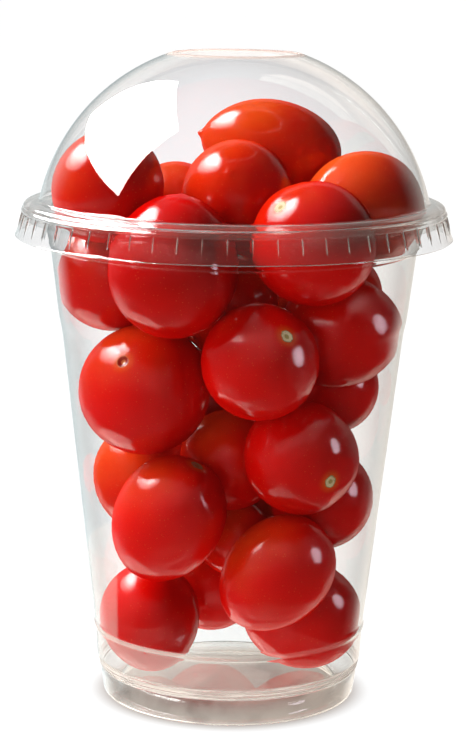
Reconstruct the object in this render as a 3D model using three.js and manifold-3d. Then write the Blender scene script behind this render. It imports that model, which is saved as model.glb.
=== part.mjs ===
// A clear tapered cup with a clear domed lid, filled with cherry tomatoes.
// Millimetres, +Z up. The origin is the centre of the foot, where the cup stands.
// Three bodies: the cup, the lid clipped over its rim, and the heap of tomatoes inside.
import * as THREE from 'three';
import { mergeVertices } from 'three/addons/utils/BufferGeometryUtils.js';
import Module from 'manifold-3d';

const wasm = await Module();
wasm.setup();

// ---------------------------------------------------------------- driving sizes

const ROUND = 32; // facets around the cup and the lid
const CUP_WALL = 0.5; // thickness of the cup's moulded sheet
const LID_WALL = 0.5; // thickness of the lid's moulded sheet

const FOOT_RADIUS = 29.8; // the ring that the cup stands on
const FOOT_HEIGHT = 6.4; // where the foot meets the body, and where the floor is
const BODY_LOW = { r: 30.9, z: 9.0 }; // the body's first full radius above the foot
const BEAD = { r: 31.45, z: 16.8, half: 1.1, out: 0.35 }; // low stiffening bead
const STEP_LOW = { r: 39.45, z: 87.6 }; // stacking step, below
const STEP_HIGH = { r: 40.1, z: 89.6 }; // stacking step, above
const NECK = { r: 42.5, z: 108.0 }; // under the rim
const RIM_RADIUS = 47.9; // outside of the rolled rim
const RIM_TOP = 116.2;

const DOME_RADIUS = 46.1; // the dome is part of a ball
const DOME_CENTRE = 107.4;
const DOME_FOOT = 118.0; // where the dome meets its flange
const HOLE_RADIUS = 14.2; // the round hole in the top
const LID_BEAD_RADIUS = 49.0; // the flange's rounded bead
const SKIRT_RADIUS = 50.6; // the flared lower edge
const SKIRT_BOTTOM = 109.2;
const RIBS = 50; // short grip ribs around the skirt
const RIB = { deep: 0.8, wide: 0.6, tall: 2.4, middle: 111.2, lean: 28 }; // each rib, leaning outwards

const CLEARANCE = 0.3; // between the tomatoes and the plastic
const CORE_DEPTH = 10.5; // how far the heap's solid middle stays inside the wall
const LID_TOLERANCE = 0.02; // edges shorter or flatter than this are merged away
const HEAP_TOLERANCE = 0.1; // the same, for the heap

// The tomatoes. Each row is: bearing round the cup in degrees, height of the middle,
// distance in from resting against the wall, width, length, and the way the stem end
// points, as a bearing and a lift in degrees.
const TOMATOES = [
  // on the cup's floor
  [189, 18, 0, 23.5, 26, 288, -60],
  [104, 21.5, 0, 25, 26, 84, 13],
  [1, 18, 0.5, 25.5, 28.5, 11, -1],
  // lower half
  [302, 33, 0, 24, 29.5, 24, 40],
  [53, 34.5, 0, 20.5, 22.5, 51, 10],
  [101, 44, 0, 22, 25, 100, -15],
  [227, 45, 0, 25.5, 31, 338, 62],
  [6, 46.5, 0, 24.5, 23.5, 81, -22],
  [160, 49.5, 0, 24.5, 26.5, 100, 68],
  [86, 55.5, 21.5, 24, 22.5, 115, -14],
  [62, 60, 0, 22, 25, 76, 59],
  [314, 60.5, 0, 26, 27.5, 301, -14],
  // upper half
  [119, 66.5, 0, 24, 26.5, 250, 39],
  [21, 72, 0, 22.5, 21.5, 96, -15],
  [204, 74, 0, 30.5, 29.5, 246, 36],
  [79, 82, 0, 24, 26.5, 60, -30],
  [284, 83.5, 0, 26.5, 26.5, 304, 36],
  [345, 88, 0, 26, 28.5, 188, -5],
  [120, 92, 25, 23.5, 24.5, 10, 80],
  [35, 92.5, 0, 22.5, 25.5, 19, 10],
  [130, 90, 0.5, 23.5, 27, 120, 25],
  [177, 98.5, 0, 25, 27.5, 154, 1],
  // under the rim and in the dome
  [240, 105, 0, 29, 32.5, 190, -84],
  [95, 102, 0, 20.5, 23.5, 95, -45],
  [310, 110, 0, 28, 28.5, 221, 41],
  [60, 109, 0, 20.5, 23, 60, 58],
  [134, 112.5, 11, 23.5, 24, 100, 10],
  [4, 115.5, 0, 26.5, 29, 26, -4],
  [277, 119, 26, 25.5, 26, 81, -28],
  [195, 120.5, 0, 25, 28, 60, 26],
  [63, 127.5, 8, 23.5, 34, 0, -12],
];

// ---------------------------------------------------------------- helpers

const rad = (deg) => (deg * Math.PI) / 180;
const points = (list) => list.map(([r, z]) => new THREE.Vector2(r, z));

// A closed ring or solid of revolution about Z from a profile of [radius, height].
// The profile runs anticlockwise seen with the radius to the right and the height up.
function turned(profile, facets) {
  const list = points(profile);
  if (list[0].x > 0) list.push(list[0].clone());
  const shape = new THREE.LatheGeometry(list, facets);
  shape.rotateX(Math.PI / 2);
  return shape;
}

function toSolid(geometry) {
  const bare = geometry.clone();
  bare.deleteAttribute('normal');
  bare.deleteAttribute('uv');
  const merged = mergeVertices(bare, 1e-4);
  const vertProperties = new Float32Array(merged.attributes.position.array);
  const triVerts = new Uint32Array(merged.index.array);
  const make = (tris) =>
    new wasm.Manifold(new wasm.Mesh({ numProp: 3, vertProperties, triVerts: tris }));
  const solid = make(triVerts);
  if (solid.volume() > 0) return solid;
  const flipped = triVerts.slice();
  for (let i = 0; i < flipped.length; i += 3) {
    [flipped[i], flipped[i + 1]] = [flipped[i + 1], flipped[i]];
  }
  return make(flipped);
}

function toMesh(solid, name, colour, roughness, opacity) {
  const source = solid.getMesh();
  const geometry = new THREE.BufferGeometry();
  geometry.setAttribute('position', new THREE.BufferAttribute(source.vertProperties, 3));
  geometry.setIndex(new THREE.BufferAttribute(source.triVerts, 1));
  geometry.computeVertexNormals();
  const material = new THREE.MeshStandardMaterial({ color: colour, roughness, metalness: 0 });
  if (opacity < 1) {
    material.transparent = true;
    material.opacity = opacity;
  }
  const mesh = new THREE.Mesh(geometry, material);
  mesh.name = name;
  return mesh;
}

// Radius of the cup's outer face at a height on its plain wall.
function wallRadius(z) {
  const line = [BODY_LOW, BEAD, STEP_LOW, STEP_HIGH, NECK, { r: 43.9, z: 114.6 }, { r: 44.9, z: 118.2 }];
  for (let i = 1; i < line.length; i++) {
    const [a, b] = [line[i - 1], line[i]];
    if (z <= b.z) return a.r + ((b.r - a.r) * (z - a.z)) / (b.z - a.z);
  }
  return line[line.length - 1].r;
}

// Distance from the axis to the middle of a ball that rests against the cup or the dome.
function resting(z, ball) {
  const taper = Math.cos(rad(6.5));
  const inCup = wallRadius(z) - CUP_WALL - CLEARANCE - ball / taper;
  if (z < DOME_CENTRE) return inCup;
  const reach = DOME_RADIUS - LID_WALL - CLEARANCE - ball;
  const rise = z - DOME_CENTRE;
  const inDome = Math.sqrt(Math.max(reach * reach - rise * rise, 0));
  return z < DOME_FOOT ? Math.min(inCup, inDome) : inDome;
}

// ---------------------------------------------------------------- the cup

function cup() {
  const t = CUP_WALL;
  const bead = [
    [BEAD.r - 0.07, BEAD.z - BEAD.half],
    [BEAD.r + BEAD.out, BEAD.z],
    [BEAD.r + 0.13, BEAD.z + BEAD.half],
  ];
  // Under the raised floor, round the hollow foot ring and up the outside.
  const outside = [
    [0, FOOT_HEIGHT - 2],
    [23.6, FOOT_HEIGHT - 2],
    [25.4, FOOT_HEIGHT - 3.2],
    [26.2, 0.6],
    [26.9, 0],
    [FOOT_RADIUS - 0.9, 0],
    [FOOT_RADIUS - 0.1, 0.9],
    [FOOT_RADIUS + 0.2, FOOT_HEIGHT - 1],
    [FOOT_RADIUS, FOOT_HEIGHT - 0.2],
    [BODY_LOW.r - 0.4, FOOT_HEIGHT + 0.9],
    [BODY_LOW.r, BODY_LOW.z],
    ...bead,
    [STEP_LOW.r, STEP_LOW.z],
    [STEP_HIGH.r, STEP_HIGH.z],
    [NECK.r, NECK.z],
    [43.6, 112.6],
  ];
  // The rolled rim: a hook over the top and down the outside.
  const underHook = [
    [44.5, RIM_TOP - 1.1],
    [45.9, RIM_TOP - 0.6],
    [RIM_RADIUS - 0.6, RIM_TOP - 1.7],
    [RIM_RADIUS - 0.9, RIM_TOP - 3.3],
  ];
  const overHook = [
    [RIM_RADIUS - 0.4, RIM_TOP - 3.5],
    [RIM_RADIUS, RIM_TOP - 1.7],
    [RIM_RADIUS - 1.2, RIM_TOP - 0.2],
    [45.3, RIM_TOP],
    [43.9, RIM_TOP - 0.7],
    [43.1, 112.6],
  ];
  // Down the inside, through the groove in the hollow foot and across the floor.
  const inside = [
    [NECK.r - t, NECK.z],
    [STEP_HIGH.r - t, STEP_HIGH.z],
    [STEP_LOW.r - t, STEP_LOW.z],
    [BEAD.r - t, BEAD.z],
    [BODY_LOW.r - t, BODY_LOW.z],
    [FOOT_RADIUS - t + 0.1, FOOT_HEIGHT],
    [FOOT_RADIUS - t - 0.3, 1.3],
    [FOOT_RADIUS - t - 0.9, t],
    [27.1, t],
    [26.8, 1.0],
    [25.9, FOOT_HEIGHT - 2.7],
    [23.8, FOOT_HEIGHT - 2 + t],
    [0, FOOT_HEIGHT - 2 + t],
  ];
  return toSolid(turned([...outside, ...underHook, ...overHook, ...inside], ROUND));
}

// ---------------------------------------------------------------- the lid

// Points on the dome between two radii, going outwards and down.
function domeArc(ball, fromRadius, toRadius, steps) {
  const from = Math.asin(fromRadius / ball);
  const to = Math.asin(toRadius / ball);
  const arc = [];
  for (let i = 0; i <= steps; i++) {
    const a = from + ((to - from) * i) / steps;
    arc.push([ball * Math.sin(a), DOME_CENTRE + ball * Math.cos(a)]);
  }
  return arc;
}

function lid() {
  const inner = DOME_RADIUS - LID_WALL;
  const rise = DOME_FOOT - DOME_CENTRE;
  const footOuter = Math.sqrt(DOME_RADIUS ** 2 - rise ** 2);
  const footInner = Math.sqrt(inner ** 2 - rise ** 2);
  const outside = [
    [SKIRT_RADIUS - 0.45, SKIRT_BOTTOM],
    [SKIRT_RADIUS, SKIRT_BOTTOM],
    [LID_BEAD_RADIUS + 0.2, 112.0],
    [LID_BEAD_RADIUS - 0.15, 113.4],
    [LID_BEAD_RADIUS, 115.4],
    [LID_BEAD_RADIUS - 0.6, 116.9],
    [LID_BEAD_RADIUS - 1.8, 117.3],
    [footOuter + 0.7, 117.1],
    ...domeArc(DOME_RADIUS, HOLE_RADIUS + 1.1, footOuter, 5).reverse(),
    [HOLE_RADIUS + 0.4, 151.1],
    [HOLE_RADIUS, 150.7],
  ];
  const inside = [
    ...domeArc(inner, HOLE_RADIUS + 0.7, footInner, 5),
    [footInner + 0.9, 116.5],
    [LID_BEAD_RADIUS - 1.7, 116.8],
    [LID_BEAD_RADIUS - 0.6, 115.3],
    [LID_BEAD_RADIUS - 0.65, 113.4],
    [LID_BEAD_RADIUS - 0.25, 111.8],
  ];
  let shell = toSolid(turned([...outside, ...inside], ROUND));
  // Grip ribs: short upright fins on the flared skirt.
  for (let i = 0; i < RIBS; i++) {
    const rib = new THREE.BoxGeometry(RIB.deep, RIB.wide, RIB.tall);
    rib.rotateY(rad(-RIB.lean));
    rib.translate(LID_BEAD_RADIUS + 0.5, 0, RIB.middle);
    rib.rotateZ((2 * Math.PI * (i + 0.5)) / RIBS);
    shell = shell.add(toSolid(rib));
  }
  return shell.simplify(LID_TOLERANCE);
}

// ---------------------------------------------------------------- the tomatoes

// One tomato about its own axis, stem end up: broad shoulders round a shallow dimple,
// and a slightly drawn-out blossom end.
function tomato(width, length) {
  const steps = [0, 0.25, 0.75, 1.3, 1.85, 2.4, Math.PI];
  const profile = steps.map((a) => {
    const r = (width / 2) * Math.sin(a) * (1 + 0.04 * Math.cos(a));
    const dimple = 1.3 * Math.exp(-((r / 2.2) ** 2)) * (a < 1 ? 1 : 0);
    return [a === 0 || a === Math.PI ? 0 : r, (length / 2) * Math.cos(a) - dimple];
  });
  return turned(profile.reverse(), 10);
}

function heap() {
  const up = new THREE.Vector3(0, 0, 1);
  const lift = new THREE.Matrix4();
  // The solid middle of the heap, which joins the tomatoes.
  const core = [15, 30, 60, 88, 104, 117].map((z) => [wallRadius(z) - CUP_WALL - CORE_DEPTH, z]);
  let solid = toSolid(turned([[0, 13], ...core, [0, 122]], 16));
  for (const [bearing, height, inset, width, length, stemBearing, stemLift] of TOMATOES) {
    const out = resting(height, width / 2) - inset;
    const place = new THREE.Vector3(out * Math.cos(rad(bearing)), out * Math.sin(rad(bearing)), height);
    const stem = new THREE.Vector3(
      Math.cos(rad(stemBearing)) * Math.cos(rad(stemLift)),
      Math.sin(rad(stemBearing)) * Math.cos(rad(stemLift)),
      Math.sin(rad(stemLift)),
    );
    lift.makeRotationFromQuaternion(new THREE.Quaternion().setFromUnitVectors(up, stem));
    lift.setPosition(place);
    solid = solid.add(toSolid(tomato(width, length).applyMatrix4(lift)));
  }
  // Nothing of the heap comes nearer to the plastic than the clearance.
  const near = CUP_WALL + CLEARANCE;
  const ball = DOME_RADIUS - LID_WALL - CLEARANCE;
  const room = [
    [0, FOOT_HEIGHT - 2 + near],
    [29.2, FOOT_HEIGHT + 0.6],
    ...[BODY_LOW, BEAD, STEP_LOW, STEP_HIGH, NECK].map(({ r, z }) => [r - near, z]),
    [42.8, 112.6],
    [43.4, 115.0],
    ...domeArc(ball, HOLE_RADIUS, 43.9, 8).reverse(),
    [0, 149],
  ];
  return solid.intersect(toSolid(turned(room, ROUND))).simplify(0.1);
}

// ---------------------------------------------------------------- the object

const tumbler = new THREE.Group();
tumbler.name = 'cherry_tomato_cup';
tumbler.add(toMesh(cup(), 'cup', 0xdfe6e8, 0.08, 0.25));
tumbler.add(toMesh(lid(), 'dome_lid', 0xe2e5e8, 0.06, 0.25));
tumbler.add(toMesh(heap(), 'tomatoes', 0xb5170c, 0.25, 1));

export default tumbler;
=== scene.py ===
"""A clear cup of cherry tomatoes under a domed lid, as a studio scene around its CAD model.

Metres, +Z up, the foot on the floor at the origin, and -Y towards the viewer.
"""

import math
import random

import bmesh
import bpy
from mathutils import Matrix, Quaternion, Vector, noise


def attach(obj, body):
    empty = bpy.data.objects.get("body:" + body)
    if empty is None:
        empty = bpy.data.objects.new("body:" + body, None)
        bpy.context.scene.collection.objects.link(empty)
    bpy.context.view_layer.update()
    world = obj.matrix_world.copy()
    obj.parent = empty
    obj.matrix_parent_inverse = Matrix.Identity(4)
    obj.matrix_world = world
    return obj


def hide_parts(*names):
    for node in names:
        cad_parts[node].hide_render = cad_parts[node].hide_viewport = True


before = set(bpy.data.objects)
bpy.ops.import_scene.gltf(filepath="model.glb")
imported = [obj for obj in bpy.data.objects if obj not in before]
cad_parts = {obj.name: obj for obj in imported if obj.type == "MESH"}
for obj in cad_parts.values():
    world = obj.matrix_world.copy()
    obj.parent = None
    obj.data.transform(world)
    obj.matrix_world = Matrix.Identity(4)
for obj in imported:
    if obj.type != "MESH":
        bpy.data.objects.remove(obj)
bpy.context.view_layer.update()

MM = 0.001
FULL_TURN = 2 * math.pi

# ------------------------------------------------------------------ sizes, in millimetres

SHEET = 0.32  # thickness of the moulded clear sheet
CUP_WALL = 0.5  # thickness of the wall in the CAD model, which the tomatoes rest against
CLEARANCE = 0.3  # between a resting tomato and the wall
PRESSED_GAP = 0.12  # between a tomato's flattened side and the wall
MERGE = 0.002  # points closer than this become one
MOST_OF_SIDE = 0.48  # share of a side that one fillet may take

FOOT_HEIGHT = 6.4  # from the floor to the first bead over the standing ring
CUP_FLOOR = FOOT_HEIGHT - 2  # top of the raised floor
FOOT_BEADS_TOP = 9.0
DOME_RADIUS = 46.1
DOME_CENTRE = 107.4
DOME_FOOT = 118.0  # where the dome meets its flange
HOLE_RADIUS = 14.2
LIP_TOP = 151.1
SEAT_HEIGHT = 114.0  # where the cup's rim sits in the lid
SEAT_RADIUS = 44.0
INNER_FOOT_RADIUS = 29.6  # widest free radius at the foot beads
WALL_LEAN = math.radians(6.5)  # from upright

CUP_FACETS = 180  # around the cup
RIB_COUNT = 57  # grip ribs around the lid's skirt
RIB_FACETS = 9  # around the lid for each rib
TOMATO_FACETS = 52
DOME_STEPS = 24
CUP_FILLET_STEPS = 5
LID_FILLET_STEPS = 4

RIB_DEPTH = 0.35
RIB_FOOT = 110.4
RIB_TOP = 114.6
RIB_WIDTH_FOOT = 0.05  # as a share of the way from one rib to the next
RIB_WIDENING = 0.1  # and how much wider the rib is at its top
SKIRT_TOP = 116.0  # below this and outside the next radius, the sheet is skirt
SKIRT_INSIDE = 48.3
RIBBED_FROM = 109.5  # the skirt's upright edges between these heights
RIBBED_TO = 115.0
LONG_EDGE = 0.4  # and taller than this are cut up, so that the ribs can taper

LOBE_SWELL = 0.014  # how far the shoulders round the stem stand out, as a share of the size
BODY_SWELL = 0.016  # how far the rest does
PAINTED_KEY_SIDE_ORANGE = 0.4  # how much more orange the side towards the key is painted, as painted light

# Milky marks in the sheet, each as its lowest and highest point.
BEAD_MARK = (6.6, 9.2)
TORN_MARK = (9.2, 16.6)
STEP_MARK = (16.3, 17.3)
VEIL_MARK = (16.6, 36)
STREAK_MARK = (55, 100)
RIB_MARK = (111.2, 114.6)
FLANGE_MARK = (114.6, 117.2)

# Outer face of the cup's wall, as radius and height, from its foot to under its rim.
WALL_LINE = [
    (30.9, 9.0),
    (31.45, 16.8),
    (39.45, 87.6),
    (40.1, 89.6),
    (42.5, 108.0),
    (43.9, 114.6),
    (44.9, 118.2),
]

# The tomatoes, each as: bearing round the cup, height of the middle, distance in from
# resting against the wall, width, length, the bearing and lift of the stem end, how
# orange it is, with less than 0 for a darker red, and the tone of its scar: 0 for brown,
# 0.5 for olive and 1 for straw. Bearings are in degrees from +X round to +Y.
TOMATOES = [
    # on the cup's floor
    (189, 18, 0, 23.5, 26, 108, 60, -0.3, 0.5),
    (104, 21.5, 0, 25, 26, 84, 13, 0, 0.5),
    (1, 18, 0.5, 25.5, 28.5, 11, -1, -0.2, 0.5),
    # lower half
    (302, 33, 0, 24, 29.5, 24, 40, 0.05, 0.5),
    (53, 34.5, 0, 20.5, 22.5, 51, 10, 0.15, 0.5),
    (101, 44, 0, 22, 25, 100, -15, 0.15, 0.5),
    (67, 36, 20.5, 18, 18.5, 100, -15, 0.15, 0.5),
    (227, 45, 0, 25.5, 31, 338, 62, 0, 0.3),
    (6, 46.5, 0, 24.5, 23.5, 81, -22, -0.15, 0.5),
    (160, 49.5, 0, 24.5, 26.5, 100, 68, 0.25, 0.5),
    (86, 55.5, 21.5, 24, 22.5, 115, -14, 0.05, 0.5),
    (62, 60, 0, 22, 25, 76, 59, 0.2, 0.5),
    (314, 60.5, 0, 26, 27.5, 301, -14, -0.35, 0.8),
    # upper half
    (119, 66.5, 0, 24, 26.5, 250, 39, 0.2, 0.5),
    (21, 72, 0, 22.5, 21.5, 96, -15, -0.15, 0.5),
    (204, 74, 0, 30.5, 29.5, 246, 36, 0.03, 0),
    (79, 82, 0, 24, 26.5, 60, -30, 0.2, 0.5),
    (284, 83.5, 0, 26.5, 26.5, 304, 36, -0.25, 0.9),
    (345, 88, 0, 26, 28.5, 188, -5, -0.15, 0.5),
    (120, 92, 25, 23.5, 24.5, 10, 80, 0.15, 0.5),
    (35, 92.5, 0, 22.5, 25.5, 19, 10, 0.2, 0.5),
    (130, 90, 0.5, 23.5, 27, 120, 25, 0.15, 0.5),
    (177, 98.5, 0, 25, 27.5, 154, 1, 0.05, 0.5),
    # under the rim and in the dome
    (240, 105, 0, 29, 32.5, 190, -84, -0.35, 0.5),
    (95, 102, 0, 20.5, 23.5, 95, -45, 0.3, 0.5),
    (310, 110, 0, 28, 28.5, 221, 41, -0.1, 1),
    (60, 109, 0, 20.5, 23, 60, 58, 0.4, 0.5),
    (134, 112.5, 11, 23.5, 24, 100, 10, 0.2, 0.5),
    (4, 115.5, 0, 26.5, 29, 26, -4, 0.35, 0.5),
    (277, 119, 26, 25.5, 26, 81, -28, 0.15, 0.5),
    (195, 120.5, 0, 25, 28, 60, 26, 0.15, 0.5),
    (63, 127.5, 8, 23.5, 34, 0, -12, 0.3, 0.5),
]

# ------------------------------------------------------------------ shaping helpers


def rounded(corners, steps):
    """A run of (radius, height, fillet) corners with each corner turned into a short arc.

    A fillet takes less than half of each side, so that two of them never meet.
    """
    flat = [Vector((corner[0], corner[1])) for corner in corners]
    run = [flat[0]]
    for i in range(1, len(flat) - 1):
        fillet = corners[i][2] if len(corners[i]) > 2 else 0
        before, here, after = flat[i - 1], flat[i], flat[i + 1]
        if not fillet:
            run.append(here)
            continue
        reach_in = min(fillet, MOST_OF_SIDE * (before - here).length)
        reach_out = min(fillet, MOST_OF_SIDE * (after - here).length)
        start = here + (before - here).normalized() * reach_in
        end = here + (after - here).normalized() * reach_out
        for k in range(steps + 1):
            t = k / steps
            run.append(start * (1 - t) ** 2 + here * 2 * t * (1 - t) + end * t * t)
    run.append(flat[-1])
    return run


def spun(run, facets):
    """A closed or open surface of revolution from a run of (radius, height) points."""
    bm = bmesh.new()
    verts = [bm.verts.new((radius * MM, 0, height * MM)) for radius, height in run]
    edges = [bm.edges.new(pair) for pair in zip(verts, verts[1:])]
    bmesh.ops.spin(
        bm,
        geom=verts + edges,
        axis=(0, 0, 1),
        cent=(0, 0, 0),
        angle=FULL_TURN,
        steps=facets,
        use_merge=True,
    )
    bmesh.ops.remove_doubles(bm, verts=bm.verts, dist=MERGE * MM)
    bmesh.ops.recalc_face_normals(bm, faces=bm.faces)
    return bm


def thicken(bm):
    """Gives the sheet its wall, on the side away from its outer face, which faces up on top."""
    bm.normal_update()
    top = max(bm.faces, key=lambda face: face.calc_center_median().z)
    if top.normal.z <= 0:
        bmesh.ops.reverse_faces(bm, faces=bm.faces)
    bm.normal_update()
    bmesh.ops.solidify(bm, geom=bm.faces[:], thickness=SHEET * MM)


def bell(distance, middle, spread):
    """1 at the middle, falling to nothing on both sides."""
    return math.exp(-(((distance - middle) / spread) ** 2))


def finished(bm, name, material, node, smooth_deg):
    """Turns a shape into a named piece that rides on the body and stands for its CAD node."""
    mesh = bpy.data.meshes.new(name)
    bm.to_mesh(mesh)
    bm.free()
    for face in mesh.polygons:
        face.use_smooth = True
    piece = bpy.data.objects.new(name, mesh)
    bpy.context.scene.collection.objects.link(piece)
    mesh.materials.append(material)
    mesh.set_sharp_from_angle(angle=math.radians(smooth_deg))
    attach(piece, "root")
    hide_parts(node)
    return piece


# ------------------------------------------------------------------ the cup


def cup_run():
    """Outer face of the cup: raised floor, standing ring, beads, wall, stacking step and rim."""
    corners = [
        (0, CUP_FLOOR),
        (23.6, CUP_FLOOR, 1.5),
        (25.5, FOOT_HEIGHT - 3.2, 1.2),
        (26.3, SHEET, 0.9),
        (29.4, SHEET, 0.9),
        (30.1, FOOT_HEIGHT - 0.9, 0.7),
        (29.85, FOOT_HEIGHT, 0.3),
        (30.55, FOOT_HEIGHT + 0.7, 0.4),
        (30.35, FOOT_HEIGHT + 1.2, 0.2),
        (30.75, FOOT_HEIGHT + 1.7, 0.3),
        (30.6, FOOT_HEIGHT + 2.2, 0.2),
        (30.98, FOOT_HEIGHT + 2.8, 0.5),
        (31.38, 15.8, 0.4),
        (31.85, 16.8, 0.7),
        (31.58, 17.9, 0.4),
        (39.42, 87.2, 3.0),
        (40.1, 90.0, 3.0),
        (42.1, 106.6, 0.4),
        (42.5, 107.1, 0.3),
        (42.45, 107.9, 0.4),
        (43.5, 112.6, 1.5),
        (43.9, 116.2, 1.3),
        (47.3, 116.2, 1.7),
        (47.9, 112.9),
    ]
    return rounded(corners, CUP_FILLET_STEPS)


def make_cup(material):
    """The cup, from its raised floor to its rolled rim."""
    bm = spun(cup_run(), CUP_FACETS)
    thicken(bm)
    return finished(bm, "clear_cup", material, "cup", 40)


# ------------------------------------------------------------------ the lid


def dome_run(from_radius, to_radius):
    """An arc down the dome, between two distances from the axis."""
    start = math.asin(from_radius / DOME_RADIUS)
    end = math.asin(to_radius / DOME_RADIUS)
    turn = [start + (end - start) * i / DOME_STEPS for i in range(DOME_STEPS + 1)]
    return [(DOME_RADIUS * math.sin(a), DOME_CENTRE + DOME_RADIUS * math.cos(a)) for a in turn]


def lid_run():
    """Outer face of the lid: the hole's lip, the dome, the flange with its bead, the skirt."""
    foot = math.sqrt(DOME_RADIUS**2 - (DOME_FOOT - DOME_CENTRE) ** 2)
    lip = [(HOLE_RADIUS, LIP_TOP - 0.1), (HOLE_RADIUS + 0.5, LIP_TOP, 0.3)]
    dome = dome_run(HOLE_RADIUS + 1.0, foot)
    flange = [
        (foot + 0.3, 117.3, 0.5),
        (46.4, 117.35, 0.8),
        (48.3, 116.75, 0.9),
        (48.75, 116.0, 0.3),
        (48.6, 115.7, 0.2),
        (49.15, 115.2, 0.4),
        (49.1, 114.7, 0.3),
        (48.85, 114.3, 0.3),
        (49.4, 112.3, 0.9),
        (50.4, 109.45, 0.3),
        (50.6, 109.2),
    ]
    return rounded(lip + dome + flange, LID_FILLET_STEPS)


def press_ribs(bm):
    """Presses short upright ribs into the skirt, wide at the top and pointed below.

    The skirt's points are gathered towards the middle of each rib, where the shape changes.
    """
    for v in bm.verts:
        radius = math.hypot(v.co.x, v.co.y)
        if v.co.z > SKIRT_TOP * MM or radius < SKIRT_INSIDE * MM:
            continue
        turn = math.atan2(v.co.y, v.co.x) / FULL_TURN * RIB_COUNT
        aside = turn - math.floor(turn) - 0.5
        gathered = math.copysign(abs(2 * aside) ** 1.8 / 2, aside)
        angle = (turn + gathered - aside) / RIB_COUNT * FULL_TURN
        up = (v.co.z / MM - RIB_FOOT) / (RIB_TOP - RIB_FOOT)
        push = 0.0
        if 0 < up < 1:
            width = RIB_WIDTH_FOOT + RIB_WIDENING * up
            ridge = max(0.0, 1 - 2 * abs(gathered) / width)
            taper = min(1.0, up / 0.5) * min(1.0, (1 - up) / 0.12)
            push = RIB_DEPTH * MM * ridge * taper
        v.co.x = (radius + push) * math.cos(angle)
        v.co.y = (radius + push) * math.sin(angle)


def make_lid(material):
    """The lid, with the skirt's long upright edges cut in three so that its ribs can taper."""
    bm = spun(lid_run(), RIB_COUNT * RIB_FACETS)
    upright = [
        edge
        for edge in bm.edges
        if all(RIBBED_FROM < v.co.z / MM < RIBBED_TO for v in edge.verts)
        and abs(edge.verts[0].co.z - edge.verts[1].co.z) > LONG_EDGE * MM
    ]
    bmesh.ops.subdivide_edges(bm, edges=upright, cuts=2, use_grid_fill=True)
    press_ribs(bm)
    thicken(bm)
    return finished(bm, "clear_dome_lid", material, "dome_lid", 50)


# ------------------------------------------------------------------ the tomatoes

# Angles down the side of a tomato from its stem end: close together round the scar and the
# tip, and even between.
STEM_ANGLES = [0, 0.03, 0.06, 0.09, 0.12, 0.16, 0.2, 0.26, 0.33, 0.42, 0.53, 0.66, 0.8]
BODY_ANGLES = [0.95 + 0.13 * i for i in range(14)]
TIP_ANGLES = [2.74, 2.85, 2.94, 3.0, 3.05, 3.09, math.pi]
STEM_END = 1.2
TIP_START = 2.2

SCAR_RING_RADIUS = 1.35
SCAR_RING_HEIGHT = 0.12
POINT_RADIUS = 0.9  # of the hollow in the scar and of the small point at the tip

KEY_LIGHT_SIDE = Vector((-0.55, -0.2, 0.81)).normalized()  # the side towards the key light, painted more orange as painted light


def wall_radius(z):
    """Outer radius of the cup's wall at a height."""
    for (r0, z0), (r1, z1) in zip(WALL_LINE, WALL_LINE[1:]):
        if z <= z1:
            return r0 + (r1 - r0) * (z - z0) / (z1 - z0)
    return WALL_LINE[-1][0]


def resting(z, ball):
    """Distance from the axis to the middle of a ball that rests against the plastic."""
    in_cup = wall_radius(z) - CUP_WALL - CLEARANCE - ball / math.cos(WALL_LEAN)
    if z < DOME_CENTRE:
        return in_cup
    reach = DOME_RADIUS - CUP_WALL - CLEARANCE - ball
    in_dome = math.sqrt(max(reach**2 - (z - DOME_CENTRE) ** 2, 0))
    return min(in_cup, in_dome) if z < DOME_FOOT else in_dome


def pointing(bearing, lift):
    """A direction of length one from a bearing round the cup and a lift over level."""
    b = math.radians(bearing)
    h = math.radians(lift)
    return Vector((math.cos(b) * math.cos(h), math.sin(b) * math.cos(h), math.sin(h)))


def tomato_shape(width, length, dimple, hollow, nub, draw):
    """One tomato about its own axis, stem end up, with a corky scar in the dimple.

    The dimple and the hollow are depths at the stem end, the nub is the length of the small
    point at the tip, and draw is how far the tip's end is drawn in.
    """
    run = []
    for a in STEM_ANGLES + BODY_ANGLES + TIP_ANGLES:
        r = width / 2 * math.sin(a) * (1 + 0.05 * math.cos(a))
        r *= 1 - draw * max(0.0, -math.cos(a)) ** 3
        h = length / 2 * math.cos(a)
        if a < STEM_END:
            h -= dimple * bell(r, 0, 2.5)
            h += SCAR_RING_HEIGHT * bell(r, SCAR_RING_RADIUS, 0.3)
            h -= hollow * bell(r, 0, POINT_RADIUS)
        if a > TIP_START:
            h -= nub * bell(r, 0, POINT_RADIUS)
        run.append((0 if a in (0, math.pi) else r, h))
    return spun(run, TOMATO_FACETS)


def make_uneven(bm, width, length, stem, orange, scar_tone, chance):
    """Swells a tomato a little here and there, and notes what its skin needs at each point, with
    its orange raised on the side towards the key as painted light.
    """
    own = bm.verts.layers.float_vector.new("own_place")
    orange_and_painted_light = bm.verts.layers.float.new("orange")
    tone = bm.verts.layers.float.new("scar_tone")
    key_side = stem.transposed() @ KEY_LIGHT_SIDE
    shift = Vector([chance.uniform(-9, 9) for _ in range(3)])
    lobes = chance.choice((2, 3, 3, 4))
    lobe_turn = chance.uniform(0, FULL_TURN)
    for v in bm.verts:
        v[own] = v.co.copy()
        v[tone] = scar_tone
        turn = math.atan2(v.co.y, v.co.x)
        near_stem = bell(v.co.z / MM, length / 2, 0.3 * length)
        off_axis = min(1.0, math.hypot(v.co.x, v.co.y) / MM / (0.35 * width)) ** 2
        swell = LOBE_SWELL * math.cos(lobes * turn + lobe_turn) * near_stem * off_axis
        swell += BODY_SWELL * noise.noise(v.co / MM * 0.07 + shift)
        v.co *= 1 + swell
        # Painted light: the side towards the key is stored as more orange, on top of the tomato's
        # own tone.
        v[orange_and_painted_light] = orange + PAINTED_KEY_SIDE_ORANGE * max(0.0, v.co.normalized().dot(key_side)) ** 2


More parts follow.
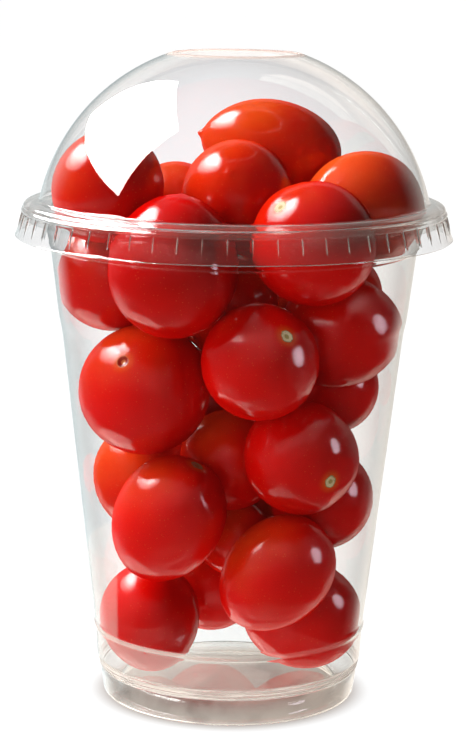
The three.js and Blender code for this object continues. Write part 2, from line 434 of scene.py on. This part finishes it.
def keep_inside(bm):
    """Flattens a tomato a little where it presses on the floor, the wall or the dome."""
    gap = CUP_WALL + PRESSED_GAP
    ball = DOME_RADIUS - gap
    for v in bm.verts:
        p = v.co / MM
        p.z = max(p.z, CUP_FLOOR + gap)
        radius = math.hypot(p.x, p.y)
        limit = wall_radius(max(p.z, FOOT_BEADS_TOP)) - gap
        if p.z > SEAT_HEIGHT:
            limit = SEAT_RADIUS
        if p.z < FOOT_BEADS_TOP:
            limit = INNER_FOOT_RADIUS
        if p.z < DOME_FOOT and radius > limit:
            p.x *= limit / radius
            p.y *= limit / radius
        if p.z > DOME_CENTRE:
            rise = Vector((p.x, p.y, p.z - DOME_CENTRE))
            if rise.length > ball:
                rise *= ball / rise.length
                p = Vector((rise.x, rise.y, rise.z + DOME_CENTRE))
        v.co = p * MM


def make_tomatoes(material):
    """All the tomatoes as one piece, each with its own unevenness, place and colour."""
    chance = random.Random(31)
    heap = bmesh.new()
    heap.verts.layers.float_vector.new("own_place")
    heap.verts.layers.float.new("orange")
    heap.verts.layers.float.new("scar_tone")
    for row in TOMATOES:
        bearing, height, inset, width, length, stem_to, stem_lift, orange, scar_tone = row
        pointed = row is TOMATOES[-1]
        bm = tomato_shape(
            width,
            length,
            dimple=chance.uniform(0.15, 0.35) * (1.0 if scar_tone else 0.2),
            hollow=0.5 if scar_tone == 0 else 0.12,
            nub=1.1 if pointed else chance.uniform(0.1, 0.4),
            draw=0.16 if pointed else chance.uniform(0.0, 0.05),
        )
        up = Vector((0, 0, 1))
        stem = up.rotation_difference(pointing(stem_to, stem_lift)).to_matrix()
        make_uneven(bm, width, length, stem, orange, scar_tone, chance)
        out = resting(height, width / 2) - inset
        b = math.radians(bearing)
        middle = Vector((out * math.cos(b), out * math.sin(b), height)) * MM
        bm.transform(Matrix.Translation(middle) @ stem.to_4x4())
        keep_inside(bm)
        mesh = bpy.data.meshes.new("one_tomato")
        bm.to_mesh(mesh)
        bm.free()
        heap.from_mesh(mesh)
        bpy.data.meshes.remove(mesh)
    return finished(heap, "cherry_tomatoes", material, "tomatoes", 180)


# ------------------------------------------------------------------ finishes


class Value:
    """A node's output, so that sums on it can be written as plain Python."""

    def __init__(self, finish, socket):
        self.finish, self.socket = finish, socket

    def output(self, name):
        """Another output of the same node."""
        return Value(self.finish, self.socket.node.outputs[name])

    def _sum(self, operation, a, b):
        return self.finish.node("ShaderNodeMath", {"operation": operation}, {0: a, 1: b})

    def __add__(self, other):
        return self._sum("ADD", self, other)

    def __radd__(self, other):
        return self._sum("ADD", other, self)

    def __sub__(self, other):
        return self._sum("SUBTRACT", self, other)

    def __rsub__(self, other):
        return self._sum("SUBTRACT", other, self)

    def __mul__(self, other):
        return self._sum("MULTIPLY", self, other)

    def __rmul__(self, other):
        return self._sum("MULTIPLY", other, self)

    def __truediv__(self, other):
        return self._sum("DIVIDE", self, other)


class Finish:
    """A material or a sky being mixed from nodes."""

    def __init__(self, owner):
        owner.use_nodes = True
        self.owner, self.tree = owner, owner.node_tree
        self.tree.nodes.clear()

    def node(self, kind, settings=None, sockets=None, out=0):
        """Any node, with its settings, its sockets and the output that is wanted."""
        made = self.tree.nodes.new(kind)
        for name, value in (settings or {}).items():
            if name == "stops":
                self._stops(made.color_ramp, value)
            else:
                setattr(made, name, value)
        for name, value in (sockets or {}).items():
            where = made.inputs[name]
            if isinstance(value, Value):
                self.tree.links.new(value.socket, where)
            else:
                where.default_value = value
        return Value(self, made.outputs[out]) if made.outputs else None

    def _stops(self, ramp, stops):
        while len(ramp.elements) < len(stops):
            ramp.elements.new(0.5)
        for element, (place, colour) in zip(ramp.elements, stops):
            element.position, element.color = place, (*colour, 1)

    def ramp(self, value, low, high):
        """0 below low, 1 above high, and smooth between."""
        return self.node(
            "ShaderNodeMapRange",
            {"interpolation_type": "SMOOTHSTEP"},
            {"Value": value, "From Min": low, "From Max": high},
        )

    def tint(self, share, a, b):
        """Colour a turning into colour b as share goes from 0 to 1."""
        four = [c if isinstance(c, Value) else (*c, 1) for c in (a, b)]
        return self.node(
            "ShaderNodeMix",
            {"data_type": "RGBA"},
            {0: share, 6: four[0], 7: four[1]},
            out=2,
        )

    def blended(self, share, stops):
        """A colour picked from a row of (place, colour) stops."""
        return self.node("ShaderNodeValToRGB", {"stops": stops}, {"Fac": share})

    def axes(self, vector):
        """The vector's parts along X, Y and Z."""
        x = self.node("ShaderNodeSeparateXYZ", None, {0: vector})
        return x, x.output("Y"), x.output("Z")

    def between(self, value, low, high, soft):
        """1 where the value lies between low and high, 0 outside, with soft ends."""
        return self.ramp(value, low - soft, low + soft) * self.ramp(value, high + soft, high - soft)

    def mark(self, height, span, soft):
        """1 between two heights given in millimetres, with soft ends."""
        return self.between(height, span[0] * MM, span[1] * MM, soft * MM)

    def length(self, vector):
        """How long the vector is."""
        return self.node(
            "ShaderNodeVectorMath", {"operation": "LENGTH"}, {0: vector}, out="Value"
        )

    def flattened(self, vector):
        """The vector without its upward part."""
        return self.node(
            "ShaderNodeVectorMath", {"operation": "MULTIPLY"}, {0: vector, 1: (1, 1, 0)}
        )

    def least(self, a, b):
        """The smaller of two values."""
        return self.node("ShaderNodeMath", {"operation": "MINIMUM"}, {0: a, 1: b})

    def mixed(self, share, a, b):
        """Shader a turning into shader b as share goes from 0 to 1."""
        return self.node("ShaderNodeMixShader", None, {0: share, 1: a, 2: b})

    def speckle(self, place, scale, detail=2.0, rough=0.5):
        """Cloudy noise, coarser or finer by its scale."""
        return self.node(
            "ShaderNodeTexNoise",
            None,
            {"Vector": place, "Scale": scale, "Detail": detail, "Roughness": rough},
        )


def new_material(name):
    return Finish(bpy.data.materials.new(name))


def cup_haze(f, place):
    """Where the cup's sheet is milky: the foot, its beads, the stacking step, a torn band
    between them, a veil on the left and faint drawn streaks under the rim."""
    x, _, z = f.axes(place)
    torn = f.speckle(place, 110.0, 4.0, 0.65)
    left = f.ramp(x, 0.016, -0.012)

    foot = f.ramp(z, 0.0066, 0.0062) * f.ramp(torn, 0.3, 0.6)
    ringed = f.node("ShaderNodeMapping", None, {"Vector": place, "Scale": (0.03, 0.03, 1.0)})
    rings = f.ramp(f.speckle(ringed, 2600.0, 1.0), 0.42, 0.58)
    beads = f.mark(z, BEAD_MARK, 0.3) * (0.2 + 0.4 * rings)

    band = f.mark(z, TORN_MARK, 0.4) * f.ramp(torn + left * 0.16, 0.47, 0.53)
    band = band * f.ramp(x, 0.0165, 0.0125) * (0.08 + 0.07 * left)
    step = f.mark(z, STEP_MARK, 0.2) * (0.04 + 0.26 * left)
    veil = f.mark(z, VEIL_MARK, 1.0) * f.ramp(x, -0.0252, -0.0262)

    drawn = f.node("ShaderNodeMapping", None, {"Vector": place, "Scale": (1.0, 1.0, 0.02)})
    streaks = f.ramp(f.speckle(drawn, 900.0, 2.0, 0.6), 0.5, 0.85)
    streaks = streaks * f.mark(z, STREAK_MARK, 12.0) * f.ramp(torn, 0.35, 0.6)
    return foot * 0.05 + beads + band + step + veil * 0.12 + streaks * 0.009


def lid_haze(f, place):
    """Where the lid's sheet is milky: its lip, its flange and skirt, and lines on some ribs."""
    x, y, z = f.axes(place)
    turn = f.node("ShaderNodeMath", {"operation": "ARCTAN2"}, {0: y, 1: x})
    turn = turn * (RIB_COUNT / FULL_TURN)
    in_rib = f.node("ShaderNodeMath", {"operation": "FRACT"}, {0: turn})
    ribs = f.between(in_rib, 0.475, 0.525, 0.015) * f.mark(z, RIB_MARK, 0.3)
    ribs = ribs * (0.15 + 0.85 * f.ramp(f.speckle(place, 60.0), 0.45, 0.6))
    skirt = f.ramp(z, 0.115, 0.1142)
    flange = f.mark(z, FLANGE_MARK, 0.2)
    lip = f.ramp(z, 0.1504, 0.1508)
    return skirt * 0.014 + ribs * 0.22 + flange * 0.04 + lip * 0.6


def lid_shading(f, place):
    """1 on the lid's flange and ribbed skirt, which hold back some of the lamps' light."""
    _, _, z = f.axes(place)
    return f.ramp(z, 0.1172, 0.1168)


def clear_plastic(name, tint, painted_right_shade, milk, ripple_depth, bend, haze, shading=None):
    """Clear moulded sheet, which bends light as real sheet does but lets lamps shine in.

    The tint turns into a warmer, greyer one to the right, as painted shade for the dimmer light
    that the sheet mirrors on that side. Haze is a function that gives the milky patches,
    and shading is one that says where the sheet holds back lamp light.
    """
    f = new_material(name)
    place = f.node("ShaderNodeTexCoord", out="Object")
    ripple = f.speckle(place, 55.0, 1.0)
    bump = f.node(
        "ShaderNodeBump", None, {"Strength": 1.0, "Distance": ripple_depth, "Height": ripple}
    )
    x, _, _ = f.axes(place)
    # Painted shade: the sheet's colour darkens from left to right.
    clear = f.node(
        "ShaderNodeBsdfPrincipled",
        None,
        {
            "Base Color": f.tint(f.ramp(x, -0.01, 0.035), tint, painted_right_shade),
            "Roughness": 0.0,
            "IOR": bend,
            "Transmission Weight": 1.0,
            "Normal": bump,
        },
    )
    lit = f.node("ShaderNodeBsdfDiffuse", None, {"Color": (*milk, 1)})
    glowing = f.node("ShaderNodeBsdfTranslucent", None, {"Color": (*milk, 1)})
    milky = f.mixed(0.55, lit, glowing)
    sheet = f.mixed(haze(f, place), clear, milky)
    open_way = f.node("ShaderNodeBsdfTransparent", None, {"Color": (*tint, 1)})
    if shading:
        dimmed = f.node("ShaderNodeBsdfTransparent", None, {"Color": (0.62, 0.58, 0.55, 1)})
        open_way = f.mixed(shading(f, place), open_way, dimmed)
    lamp_ray = f.node("ShaderNodeLightPath", out="Is Shadow Ray")
    surface = f.mixed(lamp_ray, sheet, open_way)
    f.node("ShaderNodeOutputMaterial", None, {"Surface": surface})
    return f.owner


RED = (0.73, 0.0015, 0.0003)
ORANGE = (0.79, 0.1, 0.01)
DARK_RED = (0.3, 0.001, 0.0003)

# Colours of the scar, as stops on its tone: brown, olive and straw.
SCAR_PALE = [(0, (0.28, 0.01, 0.004)), (0.5, (0.45, 0.36, 0.17)), (1, (1.0, 0.86, 0.56))]
SCAR_MIDDLE = [(0, (0.62, 0.16, 0.04)), (0.5, (0.22, 0.165, 0.075)), (1, (0.6, 0.45, 0.16))]
SCAR_RIM = [(0, (0.8, 0.2, 0.06)), (0.5, (0.13, 0.1, 0.03)), (1, (0.3, 0.2, 0.03))]


def red_skin(f, place, orange):
    """Patchy red skin, from dark red to orange, with pale pin-pricks; the orange includes painted
    light on the side towards the key.
    """
    warmth = f.speckle(place, 90.0, 3.0) * 0.5 + orange
    skin = f.tint(f.ramp(warmth, 0.25, 1.35), RED, ORANGE)
    skin = f.tint(f.ramp(warmth, 0.25, -0.6), skin, DARK_RED)
    pricks = f.node(
        "ShaderNodeTexVoronoi", {"feature": "F1"}, {"Vector": place, "Scale": 900.0}
    )
    dots = 1 - f.ramp(pricks, 0.06, 0.16)
    return f.tint(dots * 0.35, skin, (0.85, 0.2, 0.06))


def corky_scar(f, edge, grain, tone):
    """The scar's colours, from its dark middle out to its rim, by the tone of the scar."""
    middle = 1 - f.ramp(edge, 0.0004, 0.0007)
    rim = f.ramp(edge, 0.0012, 0.0014)
    cork = f.tint(middle, f.blended(tone, SCAR_PALE), f.blended(tone, SCAR_MIDDLE))
    cork = f.tint(f.ramp(grain, 0.6, 0.7) * 0.7, cork, (0.05, 0.045, 0.02))
    return f.tint(rim * 0.8, cork, f.blended(tone, SCAR_RIM))


def tomato_skin():
    """Taut waxy skin: deep red with warmer patches, pale pin-pricks and a corky scar; the more
    orange side towards the key is painted light.
    """
    f = new_material("tomato_skin")
    own = f.node("ShaderNodeAttribute", {"attribute_name": "own_place"}, out="Vector")
    # The orange attribute holds each tomato's own tone plus painted light on the side towards the
    # key.
    orange = f.node("ShaderNodeAttribute", {"attribute_name": "orange"}, out="Fac")
    tone = f.node("ShaderNodeAttribute", {"attribute_name": "scar_tone"}, out="Fac")
    place = f.node("ShaderNodeTexCoord", out="Object")

    _, _, along = f.axes(own)
    stem_side = f.ramp(along, 0.004, 0.008)
    ragged = (f.speckle(place, 1300.0, 2.0) - 0.5) * 0.0005
    edge = f.length(f.flattened(own)) + ragged
    grain = f.speckle(own, 2200.0, 3.0, 0.7)
    halo = (1 - f.ramp(edge, 0.001, 0.0034)) * stem_side
    scar = (1 - f.ramp(edge, 0.0014, 0.0016)) * stem_side
    skin = f.tint(halo * 0.6, red_skin(f, place, orange), (0.8, 0.12, 0.01))
    skin = f.tint(scar, skin, corky_scar(f, edge, grain, tone))

    fine = f.speckle(place, 2600.0, 2.0)
    broad = f.speckle(place, 260.0, 2.0)
    height = fine * 0.25 + broad * 0.75 + scar * grain * 3
    bump = f.node(
        "ShaderNodeBump", None, {"Strength": 1.0, "Distance": 0.00004, "Height": height}
    )
    facing = f.node("ShaderNodeLayerWeight", None, {"Blend": 0.5}, out="Facing")
    wax = (1 - scar * tone) * (1 - 0.75 * f.ramp(facing, 0.45, 0.9))
    shader = f.node(
        "ShaderNodeBsdfPrincipled",
        None,
        {
            "Base Color": skin,
            "Roughness": 0.26 + 0.08 * broad + scar * 0.3,
            "IOR": 1.4,
            "Specular IOR Level": 0.0,
            "Subsurface Weight": 0.2,
            "Subsurface Radius": (1.0, 0.15, 0.06),
            "Subsurface Scale": 0.003,
            "Coat Weight": wax,
            "Coat Roughness": 0.15,
            "Coat IOR": 1.7,
            "Normal": bump,
        },
    )
    f.node("ShaderNodeOutputMaterial", None, {"Surface": shader})
    return f.owner


def seen_plainly(f):
    """1 for what is seen straight or through clear sheet, 0 for what lights or mirrors."""
    straight = f.node("ShaderNodeLightPath")
    through = straight + straight.output("Is Transmission Ray")
    bounced = straight.output("Glossy Depth") + straight.output("Diffuse Depth")
    return through * (1 - f.least(bounced, 1.0))


def floor_finish():
    """Plain pale table top with a painted contact shadow under the cup; what mirrors it sees the
    studio's lit table instead.
    """
    f = new_material("pale_floor")
    place = f.node("ShaderNodeTexCoord", out="Object")
    from_middle = f.length(place)
    # Painted contact shadow round the foot, turning reddish near the middle as painted light thrown
    # down by the tomatoes.
    painted_shadow = 1 - f.ramp(from_middle, 0.026, 0.0345)
    painted_shadow_colour = f.tint(f.ramp(from_middle, 0.012, 0.024), (0.2, 0.08, 0.065), (0.36, 0.29, 0.25))
    pale = f.tint(painted_shadow, (1, 1, 1), painted_shadow_colour)
    matt = f.node("ShaderNodeBsdfDiffuse", None, {"Color": (0.05, 0.05, 0.05, 1)})
    glow = f.node("ShaderNodeEmission", None, {"Color": pale, "Strength": 1.0})
    both = f.node("ShaderNodeAddShader", None, {0: matt, 1: glow})
    away = f.node("ShaderNodeBsdfTransparent", None, {"Color": (1, 1, 1, 1)})
    surface = f.mixed(seen_plainly(f), away, both)
    f.node("ShaderNodeOutputMaterial", None, {"Surface": surface})
    return f.owner


# ------------------------------------------------------------------ the studio

# The unseen card, in millimetres.
FLAG_LOW = 117.0
FLAG_HIGH = 207.0
FLAG_DEPTH = 200.0

# Colours of the lamps.
NEUTRAL = (1.0, 0.99, 0.97)
WARM = (1.0, 0.9, 0.8)
COOL = (0.95, 0.84, 1.0)


def make_floor():
    """A wide plain floor, a hair under the foot."""
    bm = bmesh.new()
    bmesh.ops.create_grid(bm, x_segments=2, y_segments=2, size=9.0)
    mesh = bpy.data.meshes.new("pale_floor")
    bm.to_mesh(mesh)
    bm.free()
    floor = bpy.data.objects.new("pale_floor", mesh)
    floor.location.z = -0.0001
    mesh.materials.append(floor_finish())
    bpy.context.scene.collection.objects.link(floor)


def make_flag():
    """An unseen card that shades the right side of the dome from the right-hand fill."""
    height = FLAG_HIGH - FLAG_LOW
    middle = Vector((90.0, -30.0, (FLAG_LOW + FLAG_HIGH) / 2)) * MM
    upright = Matrix.Rotation(math.radians(90), 3, "Y")
    bm = bmesh.new()
    bmesh.ops.create_grid(bm, x_segments=1, y_segments=1, size=0.5)
    bmesh.ops.scale(bm, vec=(height * MM, FLAG_DEPTH * MM, 1), verts=bm.verts)
    bmesh.ops.rotate(bm, matrix=upright, verts=bm.verts)
    bmesh.ops.translate(bm, vec=middle, verts=bm.verts)
    mesh = bpy.data.meshes.new("flag")
    bm.to_mesh(mesh)
    bm.free()
    flag = bpy.data.objects.new("flag", mesh)
    flag.visible_camera = False
    flag.visible_diffuse = False
    flag.visible_glossy = False
    flag.visible_transmission = False
    bpy.context.scene.collection.objects.link(flag)


def make_surroundings():
    """White behind and to the left, dark towards the viewer, as round a lit table.

    How bright it is depends on how many faces of clear sheet a ray has come through: none,
    two for light that falls on the tomatoes, and four for what they mirror.
    """
    world = bpy.data.worlds.new("studio")
    bpy.context.scene.world = world
    f = Finish(world)
    way = f.node("ShaderNodeTexCoord", out="Generated")
    x, y, z = f.axes(way)
    level = f.length(f.flattened(way))
    level = f.node("ShaderNodeMath", {"operation": "MAXIMUM"}, {0: level, 1: 0.05})
    backward = y / level  # 1 straight behind the cup, -1 towards the viewer
    faces_passed = f.node("ShaderNodeLightPath", out="Transmission Depth")
    inside = f.least(faces_passed, 1.0)
    beyond = f.ramp(faces_passed, 2.5, 3.5)
    caught = f.ramp(faces_passed, 1.2, 1.8) * (1 - beyond)

    backdrop = f.ramp(backward, 0.5, 0.85) * f.ramp(z, -0.02, 0.02) * f.ramp(z, 0.62, 0.5)
    backdrop = backdrop * (0.62 + 0.1 * f.ramp(z, 0.1, 0.35))
    backdrop = backdrop * (1 - 0.15 * inside) * (1 - 0.3 * beyond)
    right = f.ramp(x, 0.05, 0.5) * f.ramp(z, -0.02, 0.08)
    backdrop = backdrop * (1 - 0.1 * right)

    far_table = f.ramp(backward, 0.6, 0.9) * f.ramp(z, 0.02, -0.02)
    far_table = far_table * (0.93 + 0.25 * f.ramp(z, -0.19, -0.34))
    far_table = far_table * (1 - 0.15 * inside) * (1 - 0.5 * beyond)
    near_table = f.ramp(backward, 0.42, 0.72) * f.between(z, -0.75, -0.33, 0.1)
    near_table = near_table * inside * (0.8 + 0.3 * beyond)
    beneath = f.ramp(z, -0.6, -0.85) * 0.3 * (1 - inside)

    strength = 0.02 + backdrop + far_table + near_table + beneath
    strength = strength * (1 - 0.35 * caught)
    warmth = f.tint(f.ramp(x, -0.2, 0.4), (0.9, 0.99, 1.0), (1.0, 0.92, 0.84))
    warmth = f.tint(f.ramp(z, -0.28, -0.5), warmth, (1.0, 0.88, 0.76))
    light = f.node("ShaderNodeBackground", None, {"Color": warmth, "Strength": strength})
    plain = f.node("ShaderNodeBackground", None, {"Color": (1, 1, 1, 1), "Strength": 1.05})
    both = f.mixed(seen_plainly(f), light, plain)
    f.node("ShaderNodeOutputWorld", None, {"Surface": both})


def make_lamp(
    name, place, aim, size, power, colour, shows="as light", lean=0.0, on=(), shape="RECTANGLE"
):
    """A soft box at a place, facing a point and leaning about its own axis by degrees.

    It shows as light, and isn't mirrored, or it shows in the face of the sheet, or behind
    the sheet: mirrored by what the sheet covers. It can be kept to some pieces alone.
    """
    lamp = bpy.data.lights.new(name, "AREA")
    lamp.shape = shape
    lamp.size, lamp.size_y = size
    lamp.energy = power
    lamp.color = colour
    thing = bpy.data.objects.new(name, lamp)
    thing.location = place
    facing = (Vector(aim) - Vector(place)).to_track_quat("-Z", "Y")
    facing @= Quaternion((0, 0, 1), math.radians(lean))
    thing.rotation_euler = facing.to_euler()
    thing.visible_camera = False
    thing.visible_diffuse = shows == "as light"
    thing.visible_glossy = shows == "in the face"
    thing.visible_transmission = shows == "behind the sheet"
    if on:
        chosen = bpy.data.collections.new(name + "_lights")
        for piece in on:
            chosen.objects.link(piece)
        thing.light_linking.receiver_collection = chosen
    bpy.context.scene.collection.objects.link(thing)


def around(bearing, out, height):
    """A place by its bearing from the viewer's side, positive to the right."""
    b = math.radians(bearing)
    return (out * math.sin(b), -out * math.cos(b), height)


def make_key(cup, lid):
    """The large soft box up on the left: its light, its glare on the sheet, and its soft
    highlights on the tomatoes.

    Each stands a little ahead of the one before, since a ray meets only one lamp of several
    that lie in one plane.
    """
    place = Vector((-0.669, 0.356, 1.05))
    facing = Vector((0.995, -0.102, 0.002))
    aim = place + facing
    size = (1.23, 1.19)
    lean = -4.1
    apart = 0.01
    make_lamp(
        "key_in_sheet", place, aim, size, 145.0, NEUTRAL, "in the face", lean, on=(cup, lid)
    )
    highlight = [("core", 3, 0.7, 9.0), ("middle", 2, 0.95, 13.0), ("edge", 1, 1.2, 14.0)]
    for part, ahead, wide, power in highlight:
        make_lamp(
            "key_in_skin_" + part,
            place + facing * apart * ahead,
            aim,
            (wide, wide * 0.97),
            power,
            NEUTRAL,
            "behind the sheet",
            lean,
            on=(cup, lid),
            shape="ELLIPSE",
        )
    make_lamp("key_light", place - facing * apart, aim, size, 56.0, NEUTRAL, "as light", lean)


def make_lamps(cup, lid):
    """The key and the smaller lamps, aimed at the cup's axis or close to it."""
    low = (0, 0, 0.06)
    middle = (0, 0, 0.07)
    high = (0, 0, 0.08)
    make_key(cup, lid)
    make_lamp("left_fill", around(-72, 0.9, 0.3), low, (0.6, 0.5), 0.9, NEUTRAL)
    make_lamp(
        "bead_gloss",
        (0, -0.3, 0.9),
        (0, -0.05, 0),
        (1.8, 0.7),
        240.0,
        NEUTRAL,
        "in the face",
        on=(cup,),
    )
    make_lamp(
        "cool_box",
        around(79, 0.29, 0.15),
        middle,
        (0.12, 0.15),
        0.28,
        COOL,
        "behind the sheet",
        on=(cup,),
        shape="ELLIPSE",
    )
    make_lamp("front_fill", around(-34, 0.9, 0.14), low, (0.7, 0.6), 3.0, NEUTRAL)
    make_lamp("near_fill", around(-4, 0.9, 0.2), low, (0.5, 0.5), 2.2, NEUTRAL)
    make_lamp("right_fill", around(95, 0.9, 0.2), middle, (0.7, 0.6), 2.6, NEUTRAL)
    make_lamp("table_glow", (-0.08, 0.0, -0.2), high, (0.5, 0.5), 3.6, WARM)
    make_lamp(
        "table_gloss",
        (-0.2, 0.15, -0.3),
        low,
        (0.32, 0.3),
        0.42,
        WARM,
        "behind the sheet",
        on=(cup,),
        shape="ELLIPSE",
    )


def make_camera():
    """A long lens a little above the dome, looking slightly down."""
    lens = bpy.data.cameras.new("camera")
    lens.lens = 118.8
    lens.sensor_width = 36
    lens.sensor_fit = "AUTO"
    lens.clip_start = 0.01
    lens.clip_end = 50
    camera = bpy.data.objects.new("camera", lens)
    camera.location = (0.0003, -0.5707, 0.1852)
    look = Matrix.Rotation(math.radians(90 - 10.85), 4, "X")
    roll = Matrix.Rotation(math.radians(0.76), 4, "Z")
    camera.rotation_euler = (look @ roll).to_euler()
    bpy.context.scene.collection.objects.link(camera)
    bpy.context.scene.camera = camera


def set_light_paths():
    """Enough bounces for two faces of sheet on each side, and no caustics."""
    scene = bpy.context.scene
    scene.cycles.max_bounces = 24
    scene.cycles.diffuse_bounces = 7
    scene.cycles.glossy_bounces = 8
    scene.cycles.transmission_bounces = 24
    scene.cycles.transparent_max_bounces = 48
    scene.cycles.sample_clamp_indirect = 8
    scene.cycles.caustics_reflective = False
    scene.cycles.caustics_refractive = False
    scene.view_settings.view_transform = "Standard"
    scene.view_settings.look = "None"


cup_sheet = clear_plastic(
    "clear_cup_sheet",
    tint=(0.985, 1.0, 1.0),
    painted_right_shade=(0.985, 0.98, 0.96),
    milk=(0.84, 0.79, 0.75),
    ripple_depth=0.00003,
    bend=1.45,
    haze=cup_haze,
)
lid_sheet = clear_plastic(
    "clear_lid_sheet",
    tint=(0.985, 0.99, 1.0),
    painted_right_shade=(0.93, 0.93, 0.93),
    milk=(0.95, 0.82, 0.76),
    ripple_depth=0.000012,
    bend=1.42,
    haze=lid_haze,
    shading=lid_shading,
)
clear_cup = make_cup(cup_sheet)
clear_lid = make_lid(lid_sheet)
make_tomatoes(tomato_skin())
make_floor()
make_flag()
make_surroundings()
make_lamps(clear_cup, clear_lid)
make_camera()
set_light_paths()
